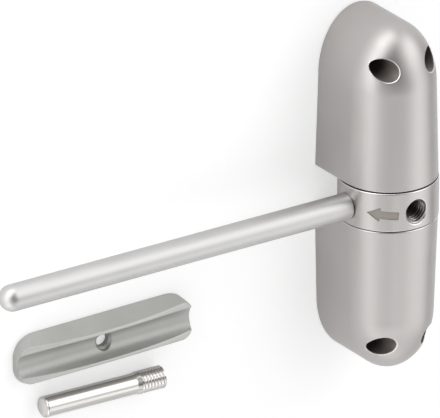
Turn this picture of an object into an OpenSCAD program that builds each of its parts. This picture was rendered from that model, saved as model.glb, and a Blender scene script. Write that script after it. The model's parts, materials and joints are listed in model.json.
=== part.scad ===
// Spring door closer: two domed housings on one spindle, a sprung collar between them,
// the arm rod, the grooved guide plate and the loose tension pin, laid out on one plane.
// X runs along the arm, Y along the spindle, and Z = 0 is the mounting plane.

/* [Housings] */
// Width of both housings where they meet the collar
body_w = 33; // [31:0.5:40]
// Height of the whole body along the spindle
body_h = 123.6; // [115:0.2:150]
// Height of each domed end
dome_h = 21.7; // [18:0.1:24]
// Distance from the flat back to the widest round piece in front of it
back_gap = 1.95; // [1.25:0.05:9.25]
// Narrowing of the half width between the mouth and the dome
taper = 0.95; // [0:0.05:1.2]
// Wall of a housing at its mouth
wall = 2.9; // [2.4:0.1:3.2]

/* [Collar] */
// Diameter of the turning collar
collar_d = 33.5; // [31:0.5:42]
// Height of the turning collar
collar_h = 13.6; // [13:0.2:18]
// Distance of the arm holes below the collar's middle
hole_drop = 0.7; // [0:0.1:1]
// Gap between the collar and each housing
seam_gap = 0.3; // [0.15:0.05:0.5]

/* [Thread] */
// Outside diameter of the thread on the pin and the arm
thread_d = 8; // [6:1:8]
// Distance from one thread to the next
pitch = 1.25; // [1.25:0.05:1.5]

/* [Arm] */
// Diameter of the arm rod
arm_d = 9; // [8.5:0.5:12]
// Distance from the spindle axis to the round tip of the arm
arm_reach = 152.4; // [120:0.1:220]

/* [Spindle and springs] */
// Diameter of the spindle
spindle_d = 8; // [6:0.5:8]
// Diameter of the spring wire
wire_d = 2.6; // [2:0.1:2.6]
// Whole turns of each spring
turns = 9; // [6:1:9]

/* [Frame screws] */
// Distance from a dome's tip down to its screw holes
screw_inset = 12.4; // [11.8:0.1:14]
// Metal between a screw's way and the outside of the dome beside it
way_wall = 1.75; // [0.8:0.01:2]
// Diameter of a screw's clearance hole
screw_d = 4.6; // [3.5:0.1:5]
// Diameter of the way for a screw's head
head_way_d = 7.2; // [7:0.1:7.6]
// Metal left under a screw's head
seat_t = 5; // [3:0.5:8]

/* [Guide plate] */
// Length of the guide plate
plate_l = 67.8; // [60:0.2:90]
// Width of the guide plate on the door
plate_w = 18.4; // [18:0.2:24]
// Thickness of the guide plate at its middle
plate_t = 7.4; // [7:0.1:9]
// Thickness of the guide plate at its ends
plate_end_t = 5.1; // [4.6:0.1:6]
// Diameter of the screw hole in the guide plate
plate_hole_d = 4.6; // [3.5:0.1:5]

/* [Tension pin] */
// Length of the tension pin
pin_l = 46.8; // [40:0.2:70]
// Diameter of the plain part of the tension pin
pin_d = 7.1; // [6:0.1:7.4]
// Length of the thread on the tension pin
pin_thread_l = 8.1; // [5:0.1:12]

/* [Layout of the loose pieces] */
// Place of the guide plate's middle along the arm
plate_x = -101.8; // [-140:0.1:-60]
// Distance of the guide plate's middle below the collar's middle
plate_drop = 33.8; // [24:0.1:36]
// Slant of the guide plate
plate_slant = 0.7; // [-3:0.1:3]
// Place of the tension pin's plain end along the arm
pin_x = -126.6; // [-140:0.1:-80]
// Distance of the tension pin's plain end below the collar's middle
pin_drop = 51; // [50:0.1:90]
// Slant of the tension pin
pin_slant = -1.1; // [-3:0.1:3]

/* [Hidden] */
$fn = 96;

// Gap between two faces that turn or slide on each other
running_gap = 0.05;
// Gap between two pieces that are fixed to each other
fixed_gap = 0.02;
// Gap between faces that pass each other end on
end_gap = 0.1;
// Gap round a wound spring
coil_gap = 1.1;
// Small broken edge
edge = 0.3;
// Overrun of a cutting shape past the face that it cuts
over = 1;

body_r = body_w / 2;
dome_r = body_r - taper;
tip_z = body_h / 2;
dome_z = tip_z - dome_h;
face_z = collar_h / 2;
mouth_z = face_z + seam_gap;
collar_r = collar_d / 2;
// Distance from the flat back to the spindle axis
axis_depth = max(body_r, collar_r) + back_gap;
room_r = body_r - wall;

// Half the width of a dome at a height
function dome_half_w(z) = dome_r * sqrt(1 - pow((z - dome_z) / dome_h, 2));
head_way_r = head_way_d / 2;
screw_z = tip_z - screw_inset;
screw_x = dome_half_w(screw_z) - way_wall - head_way_r;
// Metal between the spring's room and the ways for the screws
room_cap = 1.6;
room_top = screw_z - head_way_r - room_cap;

spindle_r = spindle_d / 2;
// Depth of the socket for the spindle's end
socket_l = 10.8;
socket_top = room_top + socket_l;
spindle_half = socket_top - edge;
// Depth of the flat under a set screw, and its distance from the room
flat_depth = 0.6;
flat_gap = 0.5;
flat_y = spindle_r - flat_depth;
set_screw_r = 2.5;
set_screw_l = 9;
set_screw_point = 0.8;
set_screw_z = (room_top + socket_top) / 2;
// Hexagon socket of a set screw
hex_w = 2.9;
hex_l = 2.5;

washer_t = 1;
ring_t = 0.9;
ring_groove = 0.5;
ring_w = 2;
ring_opening = 2.4;
washer_z = face_z + end_gap;
ring_z = washer_z + washer_t + running_gap;
guide_z = ring_z + ring_t + running_gap;
bush_wall = 1.6;
bush_r = spindle_r + bush_wall;
bush_flange_w = 1.8;
bush_flange_r = bush_r + bush_flange_w;
bush_flange_t = 1.2;
bush_l = face_z - 0.4;
washer_r = bush_flange_r + 0.6;

wire_r = wire_d / 2;
coil_r = room_r - coil_gap - wire_r;
guide_r = coil_r - wire_r - coil_gap;
tang_l = 3.2;
tang_gap = 0.2;
tang_hole_r = wire_r + tang_gap;
tang_hole_l = tang_l + tang_gap + 0.1;
// Angle of the spring's end in the collar, and in the housing
tang_collar_a = 45;
tang_housing_a = -90;

thread_r = thread_d / 2;
thread_depth = 0.6;
core_r = thread_r - thread_depth;
hole_bottom_r = bush_r + 2;
hole_rim_depth = 1.25;
hole_l = collar_r - hole_rim_depth - hole_bottom_r;
arm_r = arm_d / 2;
arm_bevel = 0.45;
groove_r = arm_r + 0.2;
// Distance of the arm's shoulder below the collar's surface, in the hole's countersink
arm_seat = 0.35;
countersink_r = arm_r - arm_bevel + 0.1;

echo("screw holes", 2 * screw_x, "apart across the body and", 2 * screw_z, "along it");
echo("spring room", room_top - face_z, "coil radius", coil_r, "guide radius", guide_r);
echo("thread length in the collar", hole_l, "top of the thread", collar_r - hole_rim_depth);

// Stands a shape made round an upright spindle on the mounting plane, front side up
module laid_down() {
    translate([0, 0, axis_depth]) rotate([-90, 0, 0]) children();
}

// Points one way out of the spindle, at an angle round it
module outwards(angle) {
    rotate([0, 0, angle]) rotate([0, 90, 0]) children();
}

// Half of a housing's outline, from the spindle axis to the side
dome_steps = 28;
function half_arch() = concat(
    [[0, mouth_z], [body_r - edge, mouth_z], [body_r, mouth_z + edge]],
    [for (i = [0:dome_steps - 1])
        let (a = 90 * i / dome_steps) [dome_r * cos(a), dome_z + dome_h * sin(a)]],
    [[0, tip_z]]);
function flip(points) =
    [for (i = [len(points) - 2:-1:1]) [-points[i][0], points[i][1]]];

// Way for one frame screw, from the front to the flat back
module screw_way() {
    seat_y = axis_depth - seat_t;
    cone_h = head_way_r - screw_d / 2;
    translate([0, seat_y - cone_h, 0]) rotate([90, 0, 0])
        cylinder(r = head_way_r, h = axis_depth + body_r);
    translate([0, seat_y, 0]) rotate([90, 0, 0])
        cylinder(r1 = screw_d / 2, r2 = head_way_r, h = cone_h);
    translate([0, axis_depth + over, 0]) rotate([90, 0, 0])
        cylinder(d = screw_d, h = seat_t + 2 * over);
}

// A domed housing with its spring room, spindle socket and screw ways, mouth downwards
module housing() {
    difference() {
        union() {
            rotate_extrude() polygon(half_arch());
            translate([0, axis_depth, 0]) rotate([90, 0, 0])
                linear_extrude(axis_depth) polygon(concat(half_arch(), flip(half_arch())));
        }
        translate([0, 0, mouth_z - over]) cylinder(r = room_r, h = room_top - mouth_z + over);
        cylinder(r = spindle_r + fixed_gap, h = socket_top);
        rotate([0, 0, tang_housing_a]) translate([coil_r, 0, room_top - over])
            cylinder(r = tang_hole_r, h = tang_hole_l + over, $fn = 32);
        for (side = [-1, 1]) translate([side * screw_x, 0, screw_z]) screw_way();
        translate([0, axis_depth + over, set_screw_z]) rotate([90, 0, 0])
            cylinder(r = set_screw_r + fixed_gap, h = axis_depth + over);
    }
}

module upper_housing() {
    color("silver") laid_down() housing();
}

module lower_housing() {
    color("silver") laid_down() mirror([0, 0, 1]) housing();
}

// Fixed spindle, flattened at both ends for the set screws and grooved for the rings
module spindle() {
    color("dimgray") laid_down() difference() {
        translate([0, 0, -spindle_half]) cylinder(r = spindle_r, h = 2 * spindle_half);
        for (side = [0, 1]) mirror([0, 0, side]) {
            translate([-spindle_r, flat_y, room_top + flat_gap])
                cube([spindle_d, spindle_r, spindle_half]);
            translate([0, 0, ring_z - running_gap]) difference() {
                cylinder(r = spindle_r + over, h = ring_t + 2 * running_gap);
                cylinder(r = spindle_r - ring_groove, h = ring_t + 2 * running_gap);
            }
        }
    }
}

// Path of a spring's wire, unrolled: upright tang, bend, slanted coil, bend, upright tang
bend_r = wire_d;
coil_turns = turns + (tang_collar_a - tang_housing_a) / 360;
sweep_l = 2 * PI * coil_r * coil_turns;
rise = room_top - face_z;
run = sweep_l - 2 * bend_r;
slant_l = sqrt(run * run + rise * rise - 4 * bend_r * bend_r);
slant = atan2(rise, run) - atan2(2 * bend_r, slant_l);
bend_steps = 5;
coil_steps = 24 * turns;
function lower_half_path() = concat(
    [[0, face_z - tang_l, 90]],
    [for (i = [0:bend_steps])
        let (a = (90 - slant) * i / bend_steps)
        [bend_r - bend_r * cos(a), face_z + bend_r * sin(a), 90 - a]]);
function wire_path() =
    let (start = lower_half_path(), n = len(start), last = start[n - 1]) concat(
        start,
        [for (i = [1:coil_steps - 1])
            let (d = slant_l * i / coil_steps)
            [last[0] + d * cos(slant), last[1] + d * sin(slant), slant]],
        [for (i = [n - 1:-1:0])
            [sweep_l - start[i][0], room_top + face_z - start[i][1], start[i][2]]]);
// Turns an unrolled point into a place on the coil's cylinder
function coil_angle(p) = tang_collar_a - p[0] / coil_r * 180 / PI;
function coil_place(p) =
    [coil_r * cos(coil_angle(p)), coil_r * sin(coil_angle(p)), p[1]];
wire_sides = 6;
function wire_ring(p) =
    let (a = coil_angle(p), out = [cos(a), sin(a), 0],
         along = [sin(a) * cos(p[2]), -cos(a) * cos(p[2]), sin(p[2])],
         across = cross(along, out))
    [for (k = [0:wire_sides - 1])
        coil_place(p) + wire_r * (cos(60 * k) * out + sin(60 * k) * across)];

module spring() {
    path = wire_path();
    n = len(path);
    m = wire_sides;
    sides = [for (i = [0:n - 2], k = [0:m - 1])
        [i * m + k, (i + 1) * m + k, (i + 1) * m + (k + 1) % m, i * m + (k + 1) % m]];
    ends = [[for (k = [0:m - 1]) k], [for (k = [m - 1:-1:0]) (n - 1) * m + k]];
    polyhedron(points = [for (p = path) each wire_ring(p)], faces = concat(sides, ends));
    // Measured from point to point, between half a turn and a turn and a half apart
    turn_gap = min([for (i = [0:n - 13], k = [12:36])
        if (i + k < n) norm(coil_place(path[i + k]) - coil_place(path[i]))]) - wire_d;
    echo("least gap between turns of a spring", turn_gap);
}

module upper_spring() {
    color("gray") laid_down() spring();
}

module lower_spring() {
    color("gray") laid_down() mirror([0, 0, 1]) spring();
}

// Tube that keeps a spring's turns off the spindle
module spring_guide() {
    translate([0, 0, guide_z]) difference() {
        cylinder(r = guide_r, h = room_top - end_gap - guide_z);
        translate([0, 0, -over])
            cylinder(r = spindle_r + running_gap, h = room_top + 2 * over);
    }
}

module upper_spring_guide() {
    color("ivory") laid_down() spring_guide();
}

module lower_spring_guide() {
    color("ivory") laid_down() mirror([0, 0, 1]) spring_guide();
}

// Open ring that snaps into the spindle's groove
module retaining_ring() {
    translate([0, 0, ring_z]) difference() {
        cylinder(r = spindle_r + ring_w, h = ring_t);
        translate([0, 0, -over])
            cylinder(r = spindle_r - ring_groove + fixed_gap, h = ring_t + 2 * over);
        translate([-ring_opening / 2, 0, -over])
            cube([ring_opening, 2 * spindle_r, ring_t + 2 * over]);
    }
}

module upper_retaining_ring() {
    color("dimgray") laid_down() retaining_ring();
}

module lower_retaining_ring() {
    color("dimgray") laid_down() mirror([0, 0, 1]) retaining_ring();
}

module thrust_washer() {
    translate([0, 0, washer_z]) difference() {
        cylinder(r = washer_r, h = washer_t);
        translate([0, 0, -over]) cylinder(r = spindle_r + running_gap, h = washer_t + 2 * over);
    }
}

module upper_thrust_washer() {
    color("gold") laid_down() thrust_washer();
}

module lower_thrust_washer() {
    color("gold") laid_down() mirror([0, 0, 1]) thrust_washer();
}

// Headless screw with a hexagon socket, from the back on to the spindle's flat
module set_screw() {
    translate([0, flat_y + fixed_gap, set_screw_z]) rotate([-90, 0, 0]) difference() {
        union() {
            cylinder(r1 = set_screw_r - set_screw_point, r2 = set_screw_r,
                     h = set_screw_point);
            translate([0, 0, set_screw_point])
                cylinder(r = set_screw_r, h = set_screw_l - set_screw_point);
        }
        translate([0, 0, set_screw_l - hex_l]) cylinder(d = hex_w, h = hex_l + over, $fn = 6);
    }
}

module upper_set_screw() {
    color("dimgray") laid_down() set_screw();
}

module lower_set_screw() {
    color("dimgray") laid_down() mirror([0, 0, 1]) set_screw();
}

// Profile of a row of thread grooves or ridges, from a core radius to a crest radius
function thread_profile(core, crest, half_width, first, count) = concat(
    [[core, first - pitch / 2]],
    [for (i = [0:count - 1]) each [
        [core, first + i * pitch - half_width],
        [crest, first + i * pitch - half_width / 4],
        [crest, first + i * pitch + half_width / 4],
        [core, first + i * pitch + half_width]]]);

// Threaded hole cut into the collar, its axis along Z from the spindle outwards
groove_half = 0.24;
hole_threads = floor(hole_l / pitch);
first_groove = hole_bottom_r + (hole_l - (hole_threads - 1) * pitch) / 2;
module threaded_hole() {
    profile = thread_profile(core_r, thread_r - 0.1, groove_half, first_groove, hole_threads);
    rotate_extrude() polygon(concat(
        [[0, hole_bottom_r], [core_r, hole_bottom_r]], profile,
        [[core_r, collar_r - hole_rim_depth], [countersink_r, collar_r - arm_seat],
         [countersink_r + arm_seat + over, collar_r + over], [0, collar_r + over]]));
}

// Arrow for the closing direction, sunk into the collar between the front hole and the arm
arrow_a = -131;
arrow_l = 10.4;
arrow_head_l = 4.3;
arrow_head_h = 5;
arrow_shaft_h = 2.65;
arrow_slant = -5;
arrow_sink = 0.3;
module arrow_recess() {
    half = arrow_l / 2;
    neck = half - arrow_head_l;
    difference() {
        outwards(arrow_a) translate([0, 0, collar_r / 2]) rotate([0, 0, arrow_slant])
            linear_extrude(collar_r)
                polygon([[0, -half], [arrow_head_h / 2, -neck], [arrow_shaft_h / 2, -neck],
                         [arrow_shaft_h / 2, half], [-arrow_shaft_h / 2, half],
                         [-arrow_shaft_h / 2, -neck], [-arrow_head_h / 2, -neck]]);
        cylinder(r = collar_r - arrow_sink, h = 2 * collar_h, center = true);
    }
}

// Turning collar: four threaded holes, two bush seats, two spring holes and the arrow
module tension_collar() {
    color("gainsboro") laid_down() difference() {
        rotate_extrude() polygon([
            [bush_r + fixed_gap, -face_z], [collar_r - edge, -face_z],
            [collar_r, -face_z + edge], [collar_r, face_z - edge],
            [collar_r - edge, face_z], [bush_r + fixed_gap, face_z]]);
        for (side = [0, 1]) mirror([0, 0, side]) {
            translate([0, 0, face_z - bush_flange_t - fixed_gap])
                cylinder(r = bush_flange_r + fixed_gap, h = bush_flange_t + over);
            rotate([0, 0, tang_collar_a]) translate([coil_r, 0, face_z - tang_hole_l])
                cylinder(r = tang_hole_r, h = tang_hole_l + over, $fn = 32);
        }
        translate([0, 0, -hole_drop]) {
            for (angle = [0:90:270]) outwards(angle) threaded_hole();
            arrow_recess();
        }
    }
}

// Flanged bush pressed into the collar, turning on the spindle
module collar_bush() {
    difference() {
        union() {
            translate([0, 0, face_z - bush_l]) cylinder(r = bush_r, h = bush_l);
            translate([0, 0, face_z - bush_flange_t])
                cylinder(r = bush_flange_r, h = bush_flange_t);
        }
        translate([0, 0, -over]) cylinder(r = spindle_r + running_gap, h = collar_h);
    }
}

module upper_collar_bush() {
    color("goldenrod") laid_down() collar_bush();
}

module lower_collar_bush() {
    color("goldenrod") laid_down() mirror([0, 0, 1]) collar_bush();
}

// Arm rod: threaded end in the collar, shoulder against it, plain round length, round tip
module arm_rod() {
    ridges = thread_profile(core_r - running_gap, thread_r - 0.3, groove_half - 0.1,
                            first_groove, hole_threads);
    shoulder = collar_r - arm_seat;
    color("silver") laid_down() translate([0, 0, -hole_drop]) outwards(180) {
        rotate_extrude() polygon(concat(
            [[0, hole_bottom_r + 0.3], [core_r - running_gap, hole_bottom_r + 0.3]],
            [for (i = [1:len(ridges) - 1]) ridges[i]],
            [[core_r - running_gap, shoulder], [arm_r - arm_bevel, shoulder],
             [arm_r, shoulder + arm_bevel], [arm_r, arm_reach - arm_r],
             [0, arm_reach - arm_r]]));
        translate([0, 0, arm_reach - arm_r]) sphere(r = arm_r);
    }
}

// Guide plate for the door: bar with slanted sides, rounded ends and a crowned face,
// and a groove as wide as the arm along it
plate_lean = 3.45;
plate_top_w = plate_w - 2 * plate_lean;
plate_corner_r = 7.8;
crown_rise = plate_t - plate_end_t;
crown_r = (plate_l * plate_l / 4 + crown_rise * crown_rise) / (2 * crown_rise);
sink_h = 0.8;
module plate_blank() {
    half_l = plate_l / 2 - plate_corner_r;
    half_w = plate_w / 2 - plate_corner_r;
    intersection() {
        linear_extrude(plate_t) union() {
            square([plate_l, 2 * half_w], center = true);
            square([2 * half_l, plate_w], center = true);
            for (x = [-half_l, half_l], y = [-half_w, half_w])
                translate([x, y]) circle(r = plate_corner_r);
        }
        rotate([90, 0, 90]) linear_extrude(plate_l + 2 * over, center = true)
            polygon([[-plate_w / 2, 0], [plate_w / 2, 0],
                     [plate_top_w / 2, plate_t], [-plate_top_w / 2, plate_t]]);
        translate([0, plate_w, plate_t - crown_r]) rotate([90, 0, 0])
            cylinder(r = crown_r, h = 2 * plate_w, $fn = 360);
    }
}

module guide_plate() {
    floor_z = plate_t - groove_r;
    hole_r = plate_hole_d / 2;
    color("darkgray") translate([plate_x, -plate_drop, 0]) rotate([0, 0, plate_slant]) difference() {
        plate_blank();
        translate([-plate_l, 0, plate_t]) rotate([0, 90, 0])
            cylinder(r = groove_r, h = 2 * plate_l);
        translate([0, 0, -over]) cylinder(r = hole_r, h = plate_t + 2 * over);
        translate([0, 0, floor_z - sink_h])
            cylinder(r1 = hole_r, r2 = hole_r + sink_h, h = sink_h);
        translate([0, 0, floor_z]) cylinder(r = hole_r + sink_h, h = plate_t);
    }
}

// Tension pin: plain end to hold, threaded end for the collar, resting on its thread
module tension_pin() {
    shank_l = pin_l - pin_thread_l;
    crest_r = thread_r - 0.1;
    count = floor(pin_thread_l / pitch);
    ridges = thread_profile(core_r, crest_r, pitch / 2 - 0.02,
                            shank_l + pitch / 2 + 0.1, count);
    pin_r = pin_d / 2;
    color("silver") translate([pin_x, -pin_drop, crest_r])
        rotate([0, 0, pin_slant]) rotate([0, 90, 0]) rotate_extrude() polygon(concat(
            [[0, 0], [pin_r - 2 * edge, 0], [pin_r - edge / 2, edge / 2],
             [pin_r, 2 * edge], [pin_r, shank_l - 2 * edge], [crest_r, shank_l - edge / 2]],
            [for (i = [1:len(ridges) - 1]) ridges[i]],
            [[core_r, pin_l - 0.4], [core_r - 0.5, pin_l], [0, pin_l]]));
}

upper_housing();
lower_housing();
spindle();
upper_spring();
lower_spring();
upper_spring_guide();
lower_spring_guide();
upper_retaining_ring();
lower_retaining_ring();
upper_thrust_washer();
lower_thrust_washer();
upper_set_screw();
lower_set_screw();
tension_collar();
upper_collar_bush();
lower_collar_bush();
arm_rod();
guide_plate();
tension_pin();
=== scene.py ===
import json
import math

import bmesh
import bpy
import numpy as np
from mathutils import Matrix, Vector


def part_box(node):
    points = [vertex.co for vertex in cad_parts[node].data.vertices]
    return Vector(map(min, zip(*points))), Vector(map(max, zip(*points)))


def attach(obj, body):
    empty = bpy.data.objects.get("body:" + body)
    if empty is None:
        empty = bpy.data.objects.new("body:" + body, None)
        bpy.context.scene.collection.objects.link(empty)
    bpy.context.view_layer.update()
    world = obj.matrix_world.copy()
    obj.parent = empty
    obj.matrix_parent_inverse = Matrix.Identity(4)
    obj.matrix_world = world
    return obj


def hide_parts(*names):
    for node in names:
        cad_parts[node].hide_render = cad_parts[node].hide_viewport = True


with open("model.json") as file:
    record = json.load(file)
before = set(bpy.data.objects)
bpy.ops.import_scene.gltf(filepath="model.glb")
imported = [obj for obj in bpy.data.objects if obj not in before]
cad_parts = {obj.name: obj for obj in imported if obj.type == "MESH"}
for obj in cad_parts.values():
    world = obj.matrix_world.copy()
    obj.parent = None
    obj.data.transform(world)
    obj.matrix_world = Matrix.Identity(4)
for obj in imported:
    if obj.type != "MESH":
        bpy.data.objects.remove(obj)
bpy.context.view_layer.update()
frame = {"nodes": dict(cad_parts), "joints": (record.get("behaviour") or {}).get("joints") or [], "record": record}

MM = 0.001

# Sizes that the frame gives
mounts = {mount["name"]: mount for mount in frame["record"]["mounts"]}
axis_z = frame["joints"][0]["pos_m"][2]
body_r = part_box("upper_housing")[1].x
mouth_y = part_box("upper_housing")[0].y
tip_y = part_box("upper_housing")[1].y
collar_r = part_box("tension_collar")[1].x
collar_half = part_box("tension_collar")[1].y
hole_y = mounts["tension_hole"]["pos_m"][1]
core_r = mounts["tension_hole"]["dims"]["r_mm"] * MM
screw_x = mounts["frame_screws"]["dims"]["spacing_x_mm"] / 2 * MM
screw_y = mounts["frame_screws"]["dims"]["spacing_y_mm"] / 2 * MM
screw_r = mounts["frame_screws"]["dims"]["hole_r_mm"] * MM
arm_r = mounts["arm_end"]["dims"]["r_mm"] * MM
arm_reach = -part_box("arm_rod")[0].x
arm_root = -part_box("arm_rod")[1].x
plate_low, plate_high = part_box("guide_plate")
plate_hole_r = mounts["guide_plate_screw"]["dims"]["r_mm"] * MM
pin_low, pin_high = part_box("tension_pin")

# Sizes of the housings that the frame doesn't give
dome_r = body_r - 0.95 * MM
dome_h = 21.7 * MM
dome_y = tip_y - dome_h
room_r = 13.6 * MM
room_top = 44.2 * MM
socket_r = 4.02 * MM
socket_top = 55.0 * MM
set_screw_r = 2.52 * MM
way_r = 3.6 * MM
seat_z = 5.0 * MM
rim_round = 0.4 * MM
edge_round = 0.4 * MM
skin = 0.04 * MM

# Sizes of the collar and of its threads
thread_r = 4.0 * MM
pitch = 1.25 * MM
hole_bottom = 7.6 * MM
thread_top = 15.5 * MM
thread_depth = 0.55 * MM
arm_seat = 0.35 * MM
bush_r = 5.62 * MM
bush_seat_r = 7.42 * MM
bush_seat_y = 5.58 * MM

# Arrow on the collar, seen square on: its middle lies at this angle from the front
arrow_turn = math.radians(-41)
arrow_half = 5.2 * MM
arrow_neck = 0.9 * MM
arrow_head_half = 2.5 * MM
arrow_shaft_half = 1.33 * MM
arrow_slant = math.radians(5)
arrow_sink = 0.3 * MM

# Sizes of the guide plate
plate_slant = math.radians(0.7)
plate_corner = 7.8 * MM
plate_lean = 3.45 * MM
plate_end_z = 5.1 * MM
sink_h = 0.8 * MM
plate_round = 0.5 * MM
plate_end_round = 2.2 * MM
plate_edge = 0.35 * MM
groove_r = arm_r + 0.2 * MM

# Sizes of the tension pin
pin_slant = math.radians(-1.1)
pin_r = 3.55 * MM
pin_crest_r = 3.9 * MM
pin_thread_l = 9.4 * MM


# Shapes are functions of a point that are negative inside and give about the distance outside


def joined_round(a, b, radius):
    """What lies inside both shapes, the edge where they meet rounded to a radius."""
    inner = np.minimum(np.maximum(a, b), -radius)
    return inner + np.hypot(np.maximum(a + radius, 0), np.maximum(b + radius, 0))


def cut_round(body, hole, radius):
    """A body less a hole, the hole's rim rounded to a radius."""
    return joined_round(body, -hole, radius)


def gradient(field, points, reach):
    """Slope of a field at points."""
    sides = []
    for offset in np.eye(3) * reach:
        sides.append(field(*(points + offset).T) - field(*(points - offset).T))
    return np.stack(sides, axis=1) / (2 * reach)


def settle(field, points, cell):
    """Moves points on to the surface of a field, along its slope."""
    for _ in range(5):
        slope = gradient(field, points, cell * 0.05)
        size = np.maximum((slope * slope).sum(axis=1), 0.05)
        step = (field(*points.T) / size)[:, None] * slope
        points = points - np.clip(step, -cell / 2, cell / 2)
    return points


def relax(points, quads):
    """Moves each point to the middle of its neighbours."""
    total = np.zeros_like(points)
    count = np.zeros(len(points))
    for a, b in ((0, 1), (1, 2), (2, 3), (3, 0), (1, 0), (2, 1), (3, 2), (0, 3)):
        ends = quads[:, a]
        count += np.bincount(ends, minlength=len(points))
        for axis in range(3):
            weights = points[quads[:, b], axis]
            total[:, axis] += np.bincount(ends, weights=weights, minlength=len(points))
    return total / count[:, None]


def net_quads(inside, index, axis):
    """Quads of a surface net that cross the grid's edges along one axis."""
    order = (axis, (axis + 1) % 3, (axis + 2) % 3)
    within = np.transpose(inside, order)
    cells = np.transpose(index, order)
    lower = within[:-1, 1:-1, 1:-1]
    upper = within[1:, 1:-1, 1:-1]
    found = []
    for leaving in (True, False):
        i, j, k = np.nonzero((lower != upper) & (lower == leaving))
        quad = [cells[i, j, k], cells[i, j + 1, k], cells[i, j + 1, k + 1], cells[i, j, k + 1]]
        found.append(np.stack(quad if leaving else quad[::-1], axis=1))
    return np.concatenate(found)


def surface_net(field, low, high, cell):
    """Even quads over the surface of a field, inside a box."""
    axes = [np.arange(a - 1.5 * cell, b + 2.5 * cell, cell) for a, b in zip(low, high)]
    inside = field(*np.meshgrid(*axes, indexing="ij", sparse=True)) < 0
    shape = [n - 1 for n in inside.shape]
    corners = np.zeros(shape, np.uint8)
    for a in (0, 1):
        for b in (0, 1):
            for c in (0, 1):
                corners += inside[a:a + shape[0], b:b + shape[1], c:c + shape[2]]
    crossed = (corners > 0) & (corners < 8)
    index = np.full(shape, -1)
    index[crossed] = np.arange(crossed.sum())
    places = [axes[i][at] + cell / 2 for i, at in enumerate(np.nonzero(crossed))]
    points = np.stack(places, axis=1)
    quads = np.concatenate([net_quads(inside, index, axis) for axis in range(3)])
    points = settle(field, points, cell)
    for _ in range(3):
        points = settle(field, relax(points, quads), cell)
    return points, quads


def refine(field, mesh, cell, turn=math.radians(14)):
    """Splits the edges of a mesh across which the field's surface turns sharply."""
    bm = bmesh.new()
    bm.from_mesh(mesh)
    points = np.array([v.co for v in bm.verts])
    slopes = gradient(field, points, cell * 0.05)
    slopes /= np.linalg.norm(slopes, axis=1, keepdims=True)
    ends = np.array([[v.index for v in e.verts] for e in bm.edges])
    cosine = (slopes[ends[:, 0]] * slopes[ends[:, 1]]).sum(axis=1)
    bm.edges.ensure_lookup_table()
    sharp = [bm.edges[i] for i in np.nonzero(cosine < math.cos(turn))[0]]
    bmesh.ops.subdivide_edges(bm, edges=sharp, cuts=1, use_grid_fill=True)
    points = settle(field, np.array([v.co for v in bm.verts]), cell / 2)
    for vert, place in zip(bm.verts, points.tolist()):
        vert.co = place
    bm.to_mesh(mesh)
    bm.free()


def add_object(name, mesh):
    """Links a mesh into the scene as an object."""
    piece = bpy.data.objects.new(name, mesh)
    bpy.context.scene.collection.objects.link(piece)
    return piece


def mesh_from(name, points, faces):
    """A smooth-shaded mesh from points and faces."""
    mesh = bpy.data.meshes.new(name)
    mesh.from_pydata(points.tolist(), [], faces.tolist())
    mesh.polygons.foreach_set("use_smooth", [True] * len(mesh.polygons))
    return mesh


def shaped(name, field, low, high, cell, rounds):
    """A piece with the surface of a field, with the field's own normals."""
    mesh = mesh_from(name, *surface_net(field, low, high, cell))
    for i in range(rounds):
        refine(field, mesh, cell / 2 ** i)
    mesh.polygons.foreach_set("use_smooth", [True] * len(mesh.polygons))
    points = np.array([v.co for v in mesh.vertices])
    slopes = gradient(field, points, cell * 0.05)
    slopes /= np.linalg.norm(slopes, axis=1, keepdims=True)
    mesh.normals_split_custom_set_from_vertices(slopes.tolist())
    return add_object(name, mesh)


def housing_outline(x, y, z):
    """Outside of a housing: a domed half round in front, drawn back to the mounting plane."""
    side = np.hypot(x, np.maximum(z - axis_z, 0))
    slant = (body_r - dome_r) / (dome_y - mouth_y)
    straight = side - dome_r - slant * (dome_y - y)
    rise = np.maximum(y - dome_y, 0)
    scaled = np.hypot(side / dome_r, rise / dome_h)
    steep = np.hypot(side / dome_r ** 2, rise / dome_h ** 2) + 1e-9
    dome = scaled * (scaled - 1) / steep
    return np.where(y < dome_y, straight, dome)


def housing_field(x, y, z):
    """The upper housing, with its room, socket and screw ways."""
    body = joined_round(housing_outline(x, y, z), -z, edge_round)
    body = joined_round(body, mouth_y - y, edge_round)
    from_axis = np.hypot(x, z - axis_z)
    room = np.maximum(from_axis - room_r, y - room_top)
    body = cut_round(body, room, edge_round)
    socket = np.maximum(from_axis - socket_r, y - socket_top)
    body = cut_round(body, socket, edge_round / 2)
    from_way = np.hypot(np.abs(x) - screw_x, y - screw_y)
    way = from_way - np.clip(screw_r + z - seat_z, screw_r, way_r)
    body = cut_round(body, way, rim_round)
    set_screw_y = (room_top + socket_top) / 2
    tapped = np.maximum(np.hypot(x, y - set_screw_y) - set_screw_r, z - axis_z)
    return cut_round(body, tapped, edge_round / 2)


def face_centres(mesh):
    """Middle of each face, as three rows."""
    centres = np.empty(3 * len(mesh.polygons))
    mesh.polygons.foreach_get("center", centres)
    return centres.reshape(-1, 3).T


def dress_faces(mesh, inside, edges, crests=False):
    """Gives the faces that the masks pick the piece's second, third and fourth material."""
    index = np.where(crests, 3, np.where(inside, 1, np.where(edges, 2, 0)))
    mesh.polygons.foreach_set("material_index", index.astype(np.int32))


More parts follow.
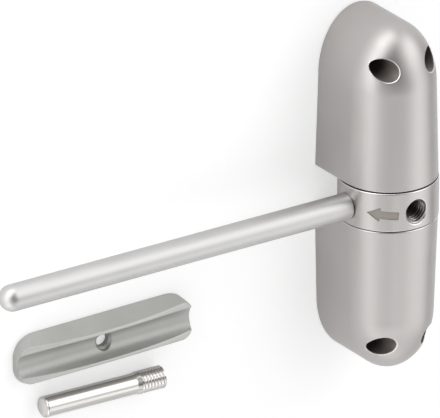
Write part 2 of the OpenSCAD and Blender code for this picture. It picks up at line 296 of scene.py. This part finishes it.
def make_housings():
    """Both housings, from one shape: the lower one is the upper one turned over."""
    low = (-body_r, mouth_y, 0)
    high = (body_r, tip_y, axis_z + body_r)
    upper = shaped("upper_housing_shell", housing_field, low, high, 0.45 * MM, 2)
    x, y, z = face_centres(upper.data)
    from_axis = np.hypot(x, z - axis_z)
    # Faces in the mouth, room, socket, screw ways and set-screw hole get painted shade
    inside = (y < mouth_y + skin) | (from_axis < room_r + skin) & (y < room_top + skin)
    inside |= (from_axis < socket_r + skin) & (y < socket_top + skin)
    from_way = np.hypot(np.abs(x) - screw_x, y - screw_y)
    inside |= from_way < way_r + skin
    inside |= (np.hypot(x, y - (room_top + socket_top) / 2) < set_screw_r + skin) & (z < axis_z)
    # Rims of the screw ways and the rounded edge at the mouth get a painted highlight
    rims = (from_way < way_r + rim_round * 0.8) & (z > seat_z) | (y < mouth_y + edge_round * 0.7)
    dress_faces(upper.data, inside, rims)
    mesh = upper.data.copy()
    mesh.transform(Matrix.Scale(-1, 4, (0, 1, 0)))
    mesh.flip_normals()
    lower = add_object("lower_housing_shell", mesh)
    return upper, lower


def thread_groove(along, angle):
    """Depth of a helical thread's groove, from 0 to 1."""
    phase = np.mod(along / pitch - angle / (2 * math.pi), 1)
    return np.clip(1.25 - 2.5 * np.abs(phase - 0.5), 0, 1)


def threaded_hole(out, across, up):
    """A threaded hole that points outwards from the spindle, with a countersunk mouth."""
    radius = np.hypot(across, up)
    groove = thread_depth * thread_groove(out, np.arctan2(up, across))
    bore = core_r + groove * np.clip((thread_top + pitch / 2 - out) / (pitch / 2), 0, 1)
    fade = np.clip((collar_r - 0.3 * MM - out) / (0.3 * MM), 0, 1)
    mouth = core_r - 0.05 * MM + out - thread_top + 0.5 * groove * fade
    hole = (radius - np.maximum(bore, mouth)) * 0.75
    return np.maximum(hole, hole_bottom - out)


def arrow_outline(across, up):
    """Flat outline of the arrow, its head towards negative across."""
    head_slope = math.atan2(arrow_head_half, arrow_half - arrow_neck)
    reach = across + arrow_half
    slanted = np.abs(up) * math.cos(head_slope) - reach * math.sin(head_slope)
    head = np.maximum(slanted, across + arrow_neck)
    shaft = np.maximum(np.abs(up) - arrow_shaft_half, np.abs(across) - arrow_half)
    shaft = np.maximum(shaft, -across - arrow_neck - 0.5 * MM)
    return np.minimum(head, shaft)


def collar_field(x, y, z):
    """The collar, with its threaded holes, bush seats and sunk arrow."""
    z = z - axis_z
    y_hole = y - hole_y
    from_axis = np.hypot(x, z)
    body = joined_round(from_axis - collar_r, np.abs(y) - collar_half, edge_round)
    seat = np.maximum(from_axis - bush_seat_r, bush_seat_y - np.abs(y))
    body = np.maximum(body, -np.minimum(from_axis - bush_r, seat))
    holes = threaded_hole(z, x, y_hole)
    holes = np.minimum(holes, threaded_hole(-z, -x, y_hole))
    holes = np.minimum(holes, threaded_hole(x, -z, y_hole))
    holes = np.minimum(holes, threaded_hole(-x, z, y_hole))
    body = cut_round(body, holes, 0.15 * MM)
    across = x * math.cos(arrow_turn) - z * math.sin(arrow_turn)
    facing = x * math.sin(arrow_turn) + z * math.cos(arrow_turn)
    along = across * math.cos(arrow_slant) - y_hole * math.sin(arrow_slant)
    aside = across * math.sin(arrow_slant) + y_hole * math.cos(arrow_slant)
    arrow = np.maximum(arrow_outline(along, aside), collar_r - arrow_sink - from_axis)
    arrow = np.maximum(arrow, -facing)
    return cut_round(body, arrow, 0.12 * MM)


def make_collar():
    """The collar, with painted shade in its holes and on its two ends and a painted highlight along its edges."""
    low = (-collar_r, -collar_half, axis_z - collar_r)
    high = (collar_r, collar_half, axis_z + collar_r)
    collar = shaped("tension_collar_ring", collar_field, low, high, 0.25 * MM, 1)
    x, y, z = face_centres(collar.data)
    from_hole = np.hypot(np.minimum(np.abs(x), np.abs(z - axis_z)), y - hole_y)
    out = np.maximum(np.abs(x), np.abs(z - axis_z))
    wall = from_hole - core_r - np.maximum(out - thread_top, 0)
    rim_depth = 0.25 * MM
    rim = np.hypot(x, z - axis_z) > collar_r - rim_depth
    # Faces in the threaded holes get painted shade, and so do the collar's two end faces in the seams
    hollow = (wall < thread_depth + skin) & ~rim
    # Thread crests in the holes get a lighter painted shade, so they read as lit
    crests = hollow & (wall < thread_depth * 0.4) & (out > thread_top - 4 * MM)
    # Rims of the holes and the rounded edges by the collar's ends get a painted highlight
    edges = rim & (wall < 3 * skin) | (np.abs(y) > collar_half - edge_round * 0.7)
    dress_faces(collar.data, hollow | (np.abs(y) > collar_half - skin), edges, crests)
    return collar


def make_arrow_face():
    """Matt face at the bottom of the sunk arrow, bent round the collar."""
    columns = 40
    thickness = 0.05 * MM
    face_r = collar_r - arrow_sink + 0.03 * MM
    points = []
    for i in range(columns + 1):
        along = arrow_half * (2 * i / columns - 1)
        head_share = (along + arrow_half) / (arrow_half - arrow_neck)
        half = arrow_head_half * head_share if along < -arrow_neck else arrow_shaft_half
        for side in (-half, half):
            across = along * math.cos(arrow_slant) + side * math.sin(arrow_slant)
            up = side * math.cos(arrow_slant) - along * math.sin(arrow_slant)
            turn = arrow_turn + math.asin(across / face_r)
            for depth in (0, thickness):
                r = face_r - depth
                points.append((r * math.sin(turn), hole_y + up, axis_z + r * math.cos(turn)))
    faces = []
    for i in range(columns):
        a = 4 * i
        ring = (0, 1, 3, 2)
        for k in range(4):
            j, m = ring[k], ring[(k + 1) % 4]
            faces.append((a + j, a + m, a + 4 + m, a + 4 + j))
    faces.append((2, 3, 1, 0))
    last = 4 * columns
    faces.append((last, last + 1, last + 3, last + 2))
    mesh = bpy.data.meshes.new("arrow_face")
    mesh.from_pydata(points, [], faces)
    bm = bmesh.new()
    bm.from_mesh(mesh)
    bmesh.ops.recalc_face_normals(bm, faces=bm.faces)
    bm.to_mesh(mesh)
    bm.free()
    return add_object("arrow_face", mesh)


def plate_surfaces(x, y, z):
    """How far a place lies outside the plate's sides, crown, groove and hole's axis."""
    across, along = math.sin(plate_slant), math.cos(plate_slant)
    reach_x = (plate_high.x - plate_low.x) / 2 - plate_corner
    reach_y = (plate_high.y - plate_low.y) / 2 - plate_corner
    half_l = (reach_x * along - reach_y * across) / (along ** 2 - across ** 2) + plate_corner
    half_w = (reach_y * along - reach_x * across) / (along ** 2 - across ** 2) + plate_corner
    x = x - (plate_low.x + plate_high.x) / 2
    y = y - (plate_low.y + plate_high.y) / 2
    x, y = x * along + y * across, y * along - x * across
    top_z = plate_high.z
    past_x = np.abs(x) - half_l + plate_corner
    past_y = np.abs(y) - half_w + plate_corner
    outline = np.hypot(np.maximum(past_x, 0), np.maximum(past_y, 0)) - plate_corner
    outline = outline + np.minimum(np.maximum(past_x, past_y), 0)
    lean = math.atan2(plate_lean, top_z)
    leaning = (np.abs(y) - half_w) * math.cos(lean) + z * math.sin(lean)
    softened = plate_edge + plate_end_round * np.clip(past_x / plate_corner, 0, 1)
    sides = joined_round(outline, leaning, softened)
    rise = top_z - plate_end_z
    crown_r = (half_l ** 2 + rise ** 2) / (2 * rise)
    crown = np.hypot(x, z - top_z + crown_r) - crown_r
    groove = np.hypot(y, z - top_z) - groove_r
    return sides, crown, groove, np.hypot(x, y)


def plate_field(x, y, z):
    """The guide plate: leaning sides, round ends, a crowned top and a groove for the arm."""
    sides, crown, groove, from_hole = plate_surfaces(x, y, z)
    body = joined_round(sides, crown, plate_round)
    body = joined_round(body, -z, edge_round)
    body = cut_round(body, groove, plate_edge)
    sink_z = plate_high.z - groove_r - sink_h
    hole = from_hole - plate_hole_r - np.clip(z - sink_z, 0, sink_h)
    return cut_round(body, hole, edge_round / 2)


def plate_rim_highlight(x, y, z):
    """The plate's crown on both sides of its groove, where a lighter colour is a painted highlight."""
    crown, groove = plate_surfaces(x, y, z)[1:3]
    return (np.abs(crown) < plate_edge * 0.7) & (groove > -skin)


def make_plate():
    """The guide plate, with a painted highlight on its crown by the groove."""
    plate = shaped("guide_plate_bar", plate_field, plate_low, plate_high, 0.35 * MM, 1)
    dress_faces(plate.data, plate_rim_highlight(*face_centres(plate.data)), False)
    return plate


def turned(name, stations, radius, segments=96):
    """A closed piece turned round the X axis: radius is a function of place and angle."""
    angles = np.linspace(0, 2 * math.pi, segments, endpoint=False)
    along, angle = np.meshgrid(stations, angles, indexing="ij")
    r = radius(along, angle)
    points = np.stack([along, r * np.cos(angle), r * np.sin(angle)], axis=-1).reshape(-1, 3)
    i, k = np.meshgrid(np.arange(len(stations) - 1), np.arange(segments), indexing="ij")
    after = (k + 1) % segments
    row, next_row = i * segments, (i + 1) * segments
    quads = np.stack([row + k, row + after, next_row + after, next_row + k], axis=-1).reshape(-1, 4)
    mesh = mesh_from(name, points, quads[:, ::-1])
    bm = bmesh.new()
    bm.from_mesh(mesh)
    bmesh.ops.holes_fill(bm, edges=[e for e in bm.edges if e.is_boundary])
    bmesh.ops.recalc_face_normals(bm, faces=bm.faces)
    for face in bm.faces:
        face.smooth = True
    bm.to_mesh(mesh)
    bm.free()
    mesh.set_sharp_from_angle(angle=math.radians(38))
    return add_object(name, mesh)


def arc(centre, start, end, radius, steps=6):
    """Points (along, radius) of an arc round a centre, between two angles in degrees."""
    points = []
    for i in range(steps + 1):
        a = math.radians(start + (end - start) * i / steps)
        points.append((centre[0] + radius * math.cos(a), centre[1] + radius * math.sin(a)))
    return points


def make_arm():
    """The arm rod: round tip, plain length, shoulder at the collar and threaded root, with painted shade on the
    root and shoulder.
    """
    shoulder = collar_r - arm_seat
    bevel = 0.5 * MM
    centre_r = 0.3 * MM
    ridge_h = 0.25 * MM
    root_r = core_r - 0.05 * MM
    outline = [(arm_root, centre_r), (arm_root, root_r)]
    threaded = np.arange(arm_root + 0.2 * MM, thread_top, pitch / 14)
    outline += [(t, root_r) for t in threaded]
    outline += [(shoulder - 0.01 * MM, root_r), (shoulder, arm_r - bevel)]
    outline += arc((shoulder + bevel, arm_r - bevel), 180, 90, bevel)[1:]
    outline += [(arm_reach - arm_r - i * 20 * MM, arm_r) for i in range(6, 0, -1)]
    outline += arc((arm_reach - arm_r, 0), 90, 1, arm_r, 24)
    along = np.array([p[0] for p in outline])
    plain = np.array([p[1] for p in outline])
    ridge = (along > arm_root + 0.3 * MM) & (along < thread_top - 0.2 * MM)

    def radius(t, angle):
        groove = ridge_h * thread_groove(t, angle)
        return plain[:, None] + np.where(ridge[:, None], groove, 0)

    arm = turned("arm_rod_turned", along, radius)
    # The threaded root and the shoulder by the collar get painted shade
    seated = face_centres(arm.data)[0] < shoulder + bevel * 0.8
    dress_faces(arm.data, seated, False)
    arm.data.transform(Matrix.Rotation(math.pi, 4, "Z"))
    arm.data.transform(Matrix.Translation((0, hole_y, axis_z)))
    return arm


def make_pin():
    """The tension pin: a plain end with a chamfer, a short ramp and a threaded end."""
    lean = abs(math.sin(pin_slant))
    length = (pin_high.x - pin_low.x - (pin_r + pin_crest_r) * lean) / math.cos(pin_slant)
    shank = length - pin_thread_l
    chamfer = 0.55 * MM
    ramp_from, ramp_to = 1.8, 0.2
    centre_r = 0.2 * MM
    outline = [(0, centre_r), (0, pin_r - chamfer * 1.3)]
    outline += [(chamfer * 0.8, pin_r - 0.1 * MM), (chamfer * 1.1, pin_r)]
    outline += [(chamfer * 1.3, pin_r), (chamfer * 1.6, pin_r)]
    outline += [(shank * i / 8, pin_r) for i in range(1, 8)]
    outline += [(shank - t * MM, pin_r) for t in (2.4, 2.0)]
    for t in np.arange(ramp_from, ramp_to - 0.1, -0.2):
        share = (ramp_from - t) / (ramp_from - ramp_to)
        outline.append((shank - t * MM, pin_r + share * (pin_crest_r - pin_r)))
    outline += [(t, pin_crest_r) for t in np.arange(shank, length - 0.3 * MM, pitch / 16)]
    outline += [(length - 0.25 * MM, core_r + 0.2 * MM), (length, core_r - 0.3 * MM)]
    outline += [(length, centre_r)]
    along = np.array([p[0] for p in outline])
    plain = np.array([p[1] for p in outline])
    ridge = (along > shank - 0.05 * MM) & (along < length - 0.35 * MM)

    def radius(t, angle):
        groove = (pin_crest_r - core_r) * thread_groove(t, angle)
        fade = np.clip((t - shank + 0.3 * MM) / (0.4 * MM), 0, 1)
        return plain[:, None] - np.where(ridge[:, None], groove * fade, 0)

    pin = turned("tension_pin_turned", along, radius)
    # The flat end gets a lighter colour, painted light where it faces the lamps
    dress_faces(pin.data, face_centres(pin.data)[0] < skin, False)
    start = Vector((pin_low.x + pin_r * lean, pin_high.y - pin_r, (pin_low.z + pin_high.z) / 2))
    pin.data.transform(Matrix.Translation(start) @ Matrix.Rotation(pin_slant, 4, "Z"))
    return pin


# Materials


def new_material(name):
    """A material with its shader node and its tools for more nodes."""
    material = bpy.data.materials.new(name)
    material.use_nodes = True
    nodes = material.node_tree.nodes
    return material, nodes, material.node_tree.links, nodes["Principled BSDF"]


def noise(nodes, links, scale, detail=3):
    """Noise in the object's own coordinates."""
    place = nodes.new("ShaderNodeTexCoord")
    texture = nodes.new("ShaderNodeTexNoise")
    texture.inputs["Scale"].default_value = scale
    texture.inputs["Detail"].default_value = detail
    links.new(place.outputs["Object"], texture.inputs["Vector"])
    return texture.outputs["Fac"]


def spread(nodes, links, value, low, high):
    """Spreads a noise's middle values between two others."""
    span = nodes.new("ShaderNodeMapRange")
    span.inputs["From Min"].default_value = 0.3
    span.inputs["From Max"].default_value = 0.7
    span.inputs["To Min"].default_value = low
    span.inputs["To Max"].default_value = high
    links.new(value, span.inputs["Value"])
    return span.outputs["Result"]


def tinted(nodes, links, value, dark, light):
    """A colour between two, by a value."""
    mix = nodes.new("ShaderNodeMix")
    mix.data_type = "RGBA"
    mix.inputs["A"].default_value = (*dark, 1)
    mix.inputs["B"].default_value = (*light, 1)
    links.new(value, mix.inputs["Factor"])
    return mix.outputs["Result"]


def maths(nodes, links, operation, first, second=0.0, third=0.0):
    """A maths node with a link into its first input and values in the rest."""
    made = nodes.new("ShaderNodeMath")
    made.operation = operation
    links.new(first, made.inputs[0])
    made.inputs[1].default_value = second
    made.inputs[2].default_value = third
    return made


def total(nodes, links, a, b, a_share, b_share):
    """Sum of two values, each times its share."""
    scaled = maths(nodes, links, "MULTIPLY", b, b_share)
    added = maths(nodes, links, "MULTIPLY_ADD", a, a_share)
    links.new(scaled.outputs[0], added.inputs[2])
    return added.outputs[0]


def bumped(nodes, links, height, strength, distance):
    """A bump from a height."""
    bump = nodes.new("ShaderNodeBump")
    bump.inputs["Strength"].default_value = strength
    bump.inputs["Distance"].default_value = distance
    links.new(height, bump.inputs["Height"])
    return bump.outputs["Normal"]


def metal(name, dark, light, rough, grain, depth, metallic=1.0, patch=90):
    """A metal or metallic paint with fine grain and slow changes of tone."""
    material, nodes, links, shader = new_material(name)
    slow = noise(nodes, links, patch)
    fine = noise(nodes, links, grain, 2)
    links.new(tinted(nodes, links, spread(nodes, links, slow, 0, 1), dark, light),
              shader.inputs["Base Color"])
    links.new(spread(nodes, links, slow, rough - 0.02, rough + 0.02), shader.inputs["Roughness"])
    links.new(bumped(nodes, links, fine, 0.25, depth), shader.inputs["Normal"])
    shader.inputs["Metallic"].default_value = metallic
    return material


def plastic(name, dark, light, rough, grain, depth):
    """A moulded or painted surface that isn't metallic."""
    return metal(name, dark, light, rough, grain, depth, metallic=0.0, patch=60)


def make_materials():
    """The record's material slots, by name."""
    looks = {}
    looks["cast_silver"] = metal(
        "cast_silver", (0.53, 0.51, 0.50), (0.55, 0.53, 0.52), 0.42, 3500, 0.012 * MM)
    # A darker copy of the cast finish: painted shade in hollows, in the seams and on the arm's root
    looks["painted_recess_shade"] = metal(
        "painted_recess_shade", (0.34, 0.29, 0.265), (0.42, 0.38, 0.355), 0.42, 2500, 0.02 * MM, 0.7)
    # Near-black painted shade deep in the collar's holes and on its end faces
    looks["painted_bore_shade"] = metal(
        "painted_bore_shade", (0.10, 0.09, 0.085), (0.14, 0.125, 0.115), 0.38, 2500, 0.01 * MM)
    # A lighter painted shade for the thread crests, so they read as catching light
    looks["painted_crest_shade"] = metal(
        "painted_crest_shade", (0.42, 0.40, 0.385), (0.48, 0.46, 0.445), 0.34, 2500, 0.01 * MM)
    # A lighter copy of the cast finish: a painted highlight on rims and rounded edges
    looks["painted_edge_highlight"] = metal(
        "painted_edge_highlight", (0.74, 0.73, 0.72), (0.80, 0.79, 0.78), 0.3, 3000, 0.01 * MM)
    looks["collar_silver"] = metal(
        "collar_silver", (0.52, 0.50, 0.485), (0.55, 0.53, 0.515), 0.34, 3500, 0.01 * MM)
    looks["arm_steel"] = metal(
        "arm_steel", (0.575, 0.57, 0.565), (0.605, 0.60, 0.595), 0.44, 2500, 0.01 * MM)
    looks["pin_nickel"] = metal(
        "pin_nickel", (0.58, 0.565, 0.545), (0.61, 0.595, 0.575), 0.12, 1800, 0.004 * MM)
    # The pin's flat end: rougher than its sides, its lighter colour painted light
    looks["pin_end_painted_light"] = metal(
        "pin_end_painted_light", (0.72, 0.71, 0.70), (0.76, 0.75, 0.74), 0.3, 1800, 0.006 * MM)
    looks["plate_plastic"] = metal(
        "plate_plastic", (0.42, 0.42, 0.40), (0.45, 0.45, 0.43), 0.42, 3000, 0.01 * MM, 0.5)
    # A lighter copy of the plate's finish: a painted highlight along the groove's rims
    looks["painted_plate_highlight"] = metal(
        "painted_plate_highlight", (0.50, 0.50, 0.48), (0.54, 0.54, 0.52), 0.4, 3000, 0.01 * MM, 0.5)
    looks["ground_steel"] = metal(
        "ground_steel", (0.5, 0.5, 0.5), (0.56, 0.56, 0.56), 0.25, 3000, 0.008 * MM)
    looks["spring_steel"] = metal(
        "spring_steel", (0.28, 0.28, 0.29), (0.34, 0.34, 0.35), 0.32, 2500, 0.01 * MM)
    looks["black_steel"] = metal(
        "black_steel", (0.05, 0.05, 0.055), (0.07, 0.07, 0.075), 0.4, 3000, 0.01 * MM)
    looks["bush_bronze"] = metal(
        "bush_bronze", (0.58, 0.38, 0.18), (0.64, 0.44, 0.22), 0.35, 3000, 0.01 * MM)
    looks["guide_nylon"] = plastic(
        "guide_nylon", (0.80, 0.78, 0.70), (0.84, 0.82, 0.74), 0.5, 2000, 0.01 * MM)
    looks["arrow_matt"] = plastic(
        "arrow_matt", (0.30, 0.27, 0.245), (0.34, 0.305, 0.275), 0.6, 3500, 0.01 * MM)
    return looks


def place_piece(piece, body, node, slot, *materials):
    """Gives a piece its materials, hangs it on its body and hides the CAD node it stands for; the slot is not
    used.
    """
    for material in materials:
        piece.data.materials.append(material)
    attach(piece, body)
    if node:
        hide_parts(node)


def dress_inner_nodes(looks):
    """Gives each CAD node that still shows its own finish."""
    for row in frame["record"]["subparts"]:
        node = frame["nodes"][row["node"]]
        for slot in node.material_slots:
            slot.material = looks[row["material_slot"]]


# Studio


def direction(azimuth, height):
    """A direction from the object, from an azimuth and a height in degrees."""
    a, h = math.radians(azimuth), math.radians(height)
    return Vector((math.cos(a) * math.cos(h), math.sin(a) * math.cos(h), math.sin(h)))


def softbox(name, azimuth, height, distance, size, level):
    """A soft lamp that shines at the object from an azimuth and a height, with an even level."""
    lamp = bpy.data.lights.new(name, "AREA")
    lamp.shape = "RECTANGLE"
    lamp.size, lamp.size_y = size
    lamp.energy = level * math.pi * size[0] * size[1]
    holder = bpy.data.objects.new(name, lamp)
    bpy.context.scene.collection.objects.link(holder)
    aim = direction(azimuth, height)
    holder.location = aim * distance
    holder.rotation_euler = aim.to_track_quat("Z", "Y").to_euler()
    holder.visible_camera = False


def make_sky(lobes):
    """A dark sky with soft lobes of light, each (azimuth, height, peak level)."""
    world = bpy.data.worlds.new("studio")
    world.use_nodes = True
    nodes, links = world.node_tree.nodes, world.node_tree.links
    place = nodes.new("ShaderNodeTexCoord")
    lobe_sharpness = 8.0
    level = None
    for azimuth, height, peak in lobes:
        facing = nodes.new("ShaderNodeVectorMath")
        facing.operation = "DOT_PRODUCT"
        links.new(place.outputs["Generated"], facing.inputs[0])
        facing.inputs[1].default_value = direction(azimuth, height)
        falling = maths(nodes, links, "MULTIPLY_ADD", facing.outputs["Value"],
                        lobe_sharpness, -lobe_sharpness)
        lobe = maths(nodes, links, "EXPONENT", falling.outputs[0])
        summed = maths(nodes, links, "MULTIPLY_ADD", lobe.outputs[0], peak)
        if level is not None:
            links.new(level, summed.inputs[2])
        level = summed.outputs[0]
    links.new(level, nodes["Background"].inputs["Strength"])
    nodes["Background"].inputs["Color"].default_value = (1, 1, 1, 1)
    bpy.context.scene.world = world


def make_lights():
    """Soft lamps round the object and a sky with soft lobes."""
    softbox("key_softbox", 44, 42, 1.0, (0.8, 0.9), 0.45)
    softbox("top_softbox", 107.5, 3, 1.0, (0.9, 0.5), 1.5)
    softbox("top_strip", 105, 12, 0.35, (0.3, 0.2), 1.05)
    softbox("corner_strip", 135, 12, 0.35, (0.3, 0.2), 0.85)
    softbox("left_strip", 160, 12, 0.35, (0.3, 0.2), 1.6)
    softbox("low_left_strip", 200, 10, 0.35, (0.3, 0.2), 0.7)
    softbox("right_softbox", 340, 40, 0.5, (0.4, 0.4), 0.58)
    softbox("front_softbox", 270, 60, 0.5, (0.4, 0.3), 0.65)
    softbox("high_softbox", 5, 60, 0.5, (0.4, 0.3), 0.35)
    make_sky([(45, 40, 1.5), (270, 8, 1.15), (225, 8, 0.85), (45, 8, 0.65), (225, 40, 0.8),
              (315, 40, 0.7), (315, 8, 0.33)])


def make_floor():
    """A white floor just under the object, which keeps the object's shadow."""
    size = 6.0
    white = (0.9, 0.9, 0.9)
    white_seen = (0.56, 0.56, 0.56)
    glow_seen = 0.52
    glow_mirrored = 0.06
    mesh = bpy.data.meshes.new("floor")
    corners = [(-size, -size, 0), (size, -size, 0), (size, size, 0), (-size, size, 0)]
    mesh.from_pydata(corners, [], [(0, 1, 2, 3)])
    floor = add_object("floor", mesh)
    floor.location.z = -0.2 * MM
    material, nodes, links, shader = new_material("floor_white")
    shader.inputs["Roughness"].default_value = 1.0
    shader.inputs["Specular IOR Level"].default_value = 0.0
    shader.inputs["Emission Color"].default_value = (1, 1, 1, 1)
    path = nodes.new("ShaderNodeLightPath")
    seen = path.outputs["Is Camera Ray"]
    links.new(tinted(nodes, links, seen, white, white_seen), shader.inputs["Base Color"])
    mirrored = total(nodes, links, path.outputs["Is Glossy Ray"],
                     path.outputs["Is Transmission Ray"], glow_mirrored, glow_mirrored)
    glow = total(nodes, links, mirrored, seen, 1.0, glow_seen)
    links.new(glow, shader.inputs["Emission Strength"])
    mesh.materials.append(material)


def make_camera():
    """A camera at the photograph's angle, far off with a long lens."""
    turn = math.radians(34.3)
    lift = math.radians(24.12)
    roll = math.radians(0.3)
    right = Vector((math.cos(turn), 0, math.sin(turn)))
    up = Vector((math.sin(turn) * math.sin(lift), math.cos(lift),
                 -math.cos(turn) * math.sin(lift)))
    back = right.cross(up)
    rolled_right = right * math.cos(roll) + up * math.sin(roll)
    rolled_up = up * math.cos(roll) - right * math.sin(roll)
    view_width = 144.7 * MM
    lens = 1.0
    sensor = 0.036
    distance = view_width * lens / sensor
    aim = Vector((0, 0, axis_z)) - rolled_right * 55.28 * MM - rolled_up * 5.4 * MM
    camera = bpy.data.cameras.new("camera")
    camera.lens = lens * 1000
    camera.sensor_width = sensor * 1000
    camera.clip_end = 50
    holder = bpy.data.objects.new("camera", camera)
    bpy.context.scene.collection.objects.link(holder)
    axes = Matrix((rolled_right, rolled_up, back)).transposed()
    holder.matrix_world = Matrix.Translation(aim + back * distance) @ axes.to_4x4()
    bpy.context.scene.camera = holder


def main():
    """Builds every visible piece, the studio and the camera."""
    looks = make_materials()
    dress_inner_nodes(looks)
    upper, lower = make_housings()
    cast = (looks["cast_silver"], looks["painted_recess_shade"], looks["painted_edge_highlight"])
    place_piece(upper, "closer_body", "upper_housing", "cast_silver", *cast)
    place_piece(lower, "closer_body", "lower_housing", "cast_silver", *cast)
    place_piece(make_collar(), "arm", "tension_collar", "collar_silver",
                looks["collar_silver"], looks["painted_bore_shade"], looks["painted_edge_highlight"],
                looks["painted_crest_shade"])
    place_piece(make_arrow_face(), "arm", None, "collar_silver", looks["arrow_matt"])
    place_piece(make_arm(), "arm", "arm_rod", "arm_steel",
                looks["arm_steel"], looks["painted_recess_shade"])
    place_piece(make_plate(), "closer_body", "guide_plate", "plate_plastic",
                looks["plate_plastic"], looks["painted_plate_highlight"])
    place_piece(make_pin(), "closer_body", "tension_pin", "pin_nickel",
                looks["pin_nickel"], looks["pin_end_painted_light"])
    make_lights()
    make_floor()
    make_camera()
    bpy.context.scene.view_settings.view_transform = "Standard"


main()
